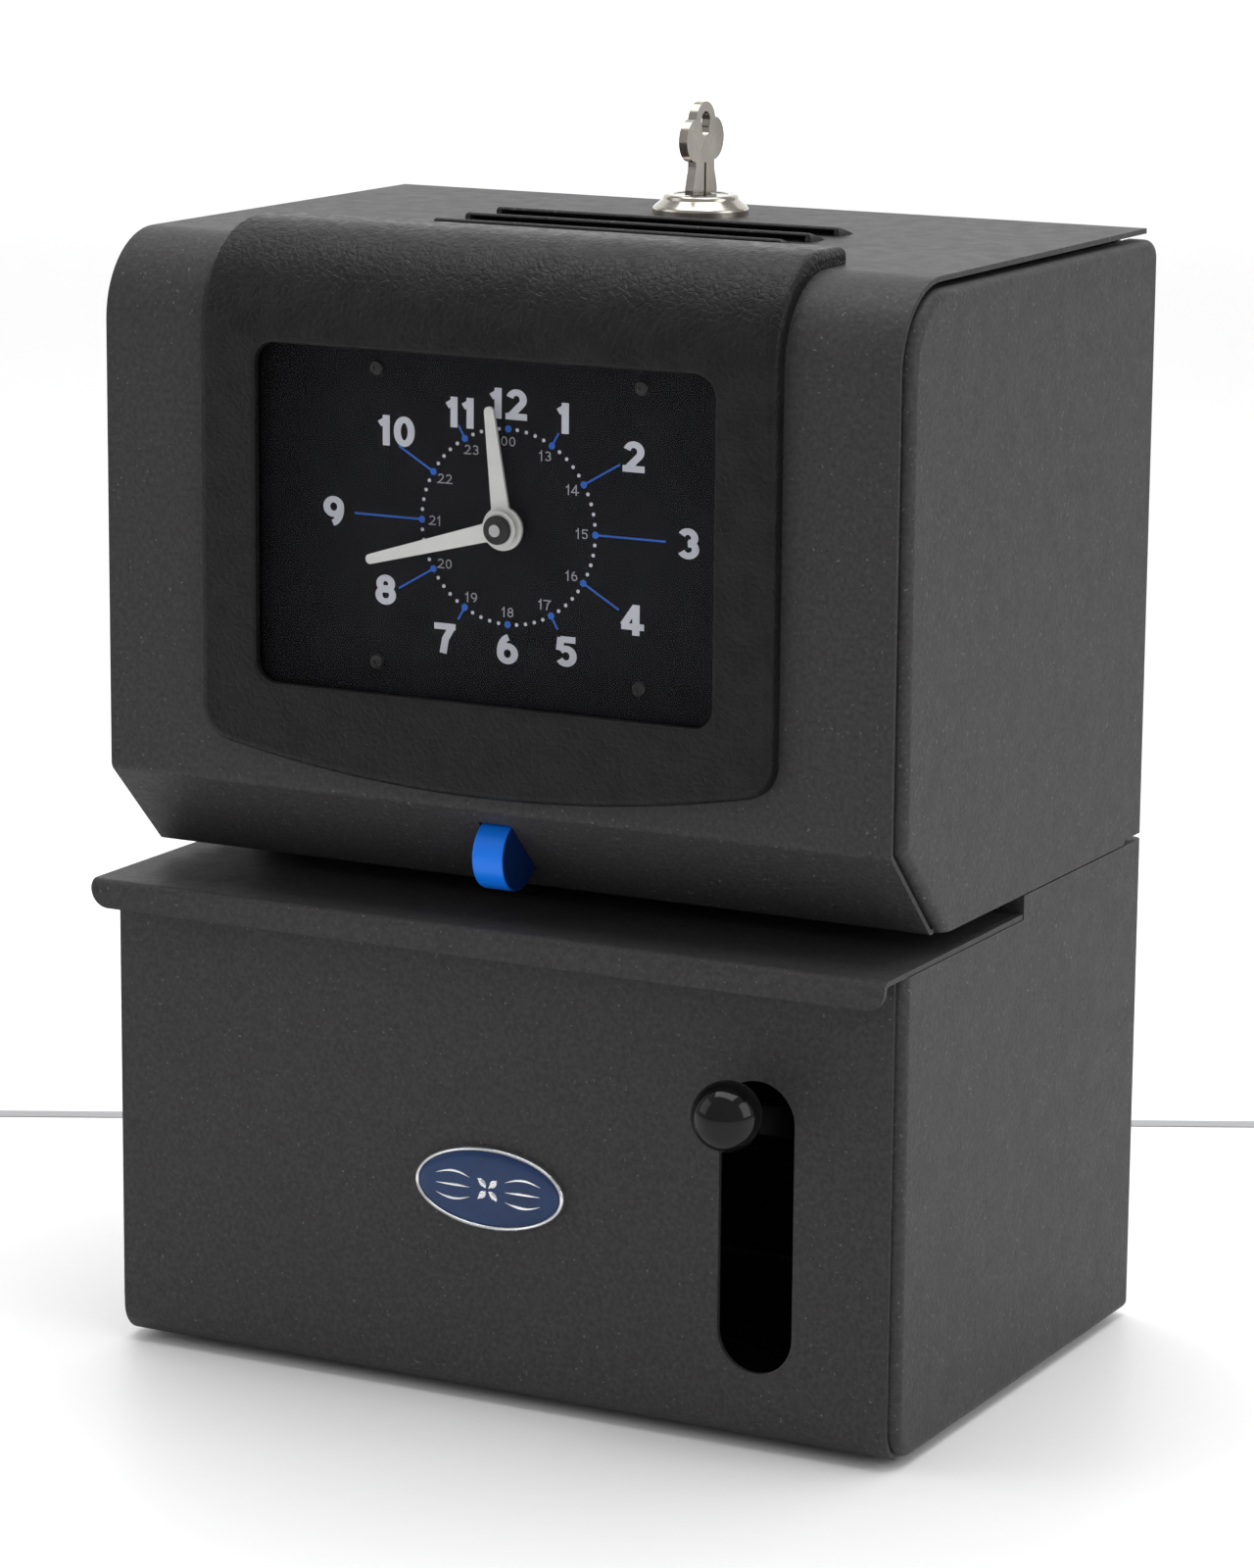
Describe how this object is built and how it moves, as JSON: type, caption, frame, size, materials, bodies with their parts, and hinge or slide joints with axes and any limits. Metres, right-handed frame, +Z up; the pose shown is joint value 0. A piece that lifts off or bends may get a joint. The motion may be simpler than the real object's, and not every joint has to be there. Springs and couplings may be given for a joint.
{
  "type": "punch time clock",
  "caption": "Mechanical punch time clock: lower case with card throat, pull lever and hammer, and an upper cover with window over an analogue dial, printing wheels and a key lock.",
  "frame": {"origin": "centre of the whole footprint (case and knob) on the surface that the feet stand on", "axes": "+X to the right seen from the front, +Y from the front towards the rear panel, +Z up"},
  "size_m": [0.205, 0.1602, 0.2927],
  "materials": {
    "powder_coat": "charcoal textured powder coat",
    "bezel_black": "leather-grained moulded black plastic",
    "clear_window": "clear acrylic",
    "dial_black": "satin black printed dial",
    "hand_white": "matt white lacquer",
    "pointer_blue": "bright blue satin plastic",
    "knob_black": "glossy black phenolic",
    "badge_blue": "navy enamel with a silver rim",
    "nickel": "bright nickel plate",
    "zinc_steel": "zinc-plated steel sheet",
    "turned_steel": "turned bright steel",
    "gear_brass": "cut brass",
    "gear_nylon": "natural moulded nylon",
    "type_plastic": "hard black type plastic",
    "black_steel": "black oxide steel",
    "rubber_black": "moulded black rubber",
    "ribbon_ink": "inked nylon ribbon",
    "motor_can": "drawn aluminium can",
    "spool_plastic": "moulded spool plastic"
  },
  "bodies": {
    "chassis": {"base_shell": "powder_coat", "card_shelf": "powder_coat", "base_cheek_left": "powder_coat", "base_cheek_right": "powder_coat", "rear_panel": "powder_coat", "rubber_feet": "rubber_black", "badge": "badge_blue", "deck_plate": "zinc_steel", "card_stop": "black_steel", "frame_brackets": "zinc_steel", "lever_brackets": "zinc_steel", "hammer_bracket": "zinc_steel", "rocker_pin": "turned_steel", "return_spring": "turned_steel", "movement_rear_plate": "zinc_steel", "movement_front_plate": "zinc_steel", "movement_pillars": "turned_steel", "dial_plate": "dial_black", "dial_screws": "black_steel", "drive_motor": "motor_can", "ribbon_guides": "turned_steel", "ribbon": "ribbon_ink", "cord_gland": "rubber_black", "lock_keeper": "zinc_steel", "case_screws": "black_steel", "plate_screws": "turned_steel"},
    "cover": {"cover_wrap": "powder_coat", "cover_cheek_left": "powder_coat", "cover_cheek_right": "powder_coat", "bezel": "bezel_black", "window_lens": "clear_window", "card_pointer": "pointer_blue", "lock_body": "nickel"},
    "lock": {"lock_cylinder": "nickel", "lock_cam": "zinc_steel", "key": "nickel"},
    "lever": {"lever_arm": "black_steel", "ball_knob": "knob_black", "lever_shaft": "turned_steel"},
    "rocker": {"hammer_rocker": "zinc_steel"},
    "hammer": {"hammer": "zinc_steel", "hammer_pad": "rubber_black"},
    "minute": {"minute_arbor": "turned_steel", "centre_wheel": "gear_brass", "cannon_pinion": "gear_brass", "minute_hand": "hand_white", "hand_nut": "black_steel"},
    "hour": {"hour_wheel": "gear_brass", "hour_hand": "hand_white"},
    "motion": {"motion_wheel": "gear_brass"},
    "idler": {"idler_wheel": "gear_nylon"},
    "motor_rotor": {"motor_pinion": "gear_brass"},
    "type_minute": {"type_shaft": "turned_steel", "minute_type_wheel": "type_plastic"},
    "type_hour": {"hour_type_wheel": "type_plastic"},
    "type_day": {"day_type_wheel": "type_plastic"},
    "reduction_hour": {"hour_reduction": "gear_nylon"},
    "reduction_day": {"day_reduction": "gear_nylon"},
    "spool_left": {"ribbon_spool_left": "spool_plastic"},
    "spool_right": {"ribbon_spool_right": "spool_plastic"}
  },
  "joints": [
    {"name": "cover_slide", "type": "slide", "parent": "chassis", "child": "cover", "axis": [0, -1, 0], "range_m": [0, 0.15]},
    {"name": "lock_turn", "type": "hinge", "parent": "cover", "child": "lock", "pos_m": [-0.0035, 0.0507, 0.2655], "axis": [0, 0, -1], "range_deg": [0, 90]},
    {"name": "lever_pull", "type": "hinge", "parent": "chassis", "child": "lever", "pos_m": [0, 0.0331, 0.0515], "axis": [1, 0, 0], "range_deg": [0, 32], "stiffness_Nm_per_rad": 1.2, "springref_deg": -20.05},
    {"name": "rocker_tilt", "type": "hinge", "parent": "chassis", "child": "rocker", "pos_m": [0, 0.0076, 0.0475], "axis": [1, 0, 0], "range_deg": [-21, 0]},
    {"name": "hammer_lift", "type": "slide", "parent": "chassis", "child": "hammer", "axis": [0, 0, 1], "range_m": [0, 0.0068]},
    {"name": "minute_spin", "type": "hinge", "parent": "chassis", "child": "minute", "pos_m": [0, -0.0369, 0.2045], "axis": [0, 1, 0], "continuous": true},
    {"name": "hour_spin", "type": "hinge", "parent": "chassis", "child": "hour", "pos_m": [0, -0.0369, 0.2045], "axis": [0, 1, 0], "continuous": true},
    {"name": "motion_spin", "type": "hinge", "parent": "chassis", "child": "motion", "pos_m": [-0.01128, -0.0369, 0.2004], "axis": [0, 1, 0], "continuous": true},
    {"name": "idler_spin", "type": "hinge", "parent": "chassis", "child": "idler", "pos_m": [0, -0.0369, 0.1709], "axis": [0, 1, 0], "continuous": true},
    {"name": "motor_spin", "type": "hinge", "parent": "chassis", "child": "motor_rotor", "pos_m": [0.0252, -0.0369, 0.1709], "axis": [0, 1, 0], "continuous": true},
    {"name": "type_minute_spin", "type": "hinge", "parent": "chassis", "child": "type_minute", "pos_m": [0, -0.0369, 0.1373], "axis": [0, 1, 0], "continuous": true},
    {"name": "type_hour_spin", "type": "hinge", "parent": "chassis", "child": "type_hour", "pos_m": [0, -0.0369, 0.1373], "axis": [0, 1, 0], "continuous": true},
    {"name": "type_day_spin", "type": "hinge", "parent": "chassis", "child": "type_day", "pos_m": [0, -0.0369, 0.1373], "axis": [0, 1, 0], "continuous": true},
    {"name": "reduction_hour_spin", "type": "hinge", "parent": "chassis", "child": "reduction_hour", "pos_m": [-0.01455, -0.0369, 0.1457], "axis": [0, 1, 0], "continuous": true},
    {"name": "reduction_day_spin", "type": "hinge", "parent": "chassis", "child": "reduction_day", "pos_m": [0.01559, -0.0369, 0.1463], "axis": [0, 1, 0], "continuous": true},
    {"name": "spool_left_spin", "type": "hinge", "parent": "chassis", "child": "spool_left", "pos_m": [-0.06, -0.0169, 0.1515], "axis": [0, 1, 0], "range_deg": [0, 16]},
    {"name": "spool_right_spin", "type": "hinge", "parent": "chassis", "child": "spool_right", "pos_m": [0.06, -0.0169, 0.1515], "axis": [0, 1, 0], "range_deg": [0, 16]}
  ],
  "couplings": [
    {"joint": "rocker_tilt", "follows": "lever_pull", "ratio": -0.65625},
    {"joint": "hammer_lift", "follows": "lever_pull", "m_per_rad": 0.012175},
    {"joint": "spool_left_spin", "follows": "lever_pull", "ratio": 0.5},
    {"joint": "spool_right_spin", "follows": "lever_pull", "ratio": 0.5},
    {"joint": "hour_spin", "follows": "minute_spin", "ratio": 0.083333},
    {"joint": "motion_spin", "follows": "minute_spin", "ratio": -0.33333},
    {"joint": "idler_spin", "follows": "minute_spin", "ratio": -0.6},
    {"joint": "motor_spin", "follows": "minute_spin", "ratio": 3},
    {"joint": "type_minute_spin", "follows": "minute_spin", "ratio": 1},
    {"joint": "reduction_hour_spin", "follows": "minute_spin", "ratio": -0.25},
    {"joint": "type_hour_spin", "follows": "minute_spin", "ratio": 0.041667},
    {"joint": "reduction_day_spin", "follows": "minute_spin", "ratio": -0.011905},
    {"joint": "type_day_spin", "follows": "minute_spin", "ratio": 0.0059524}
  ]
}
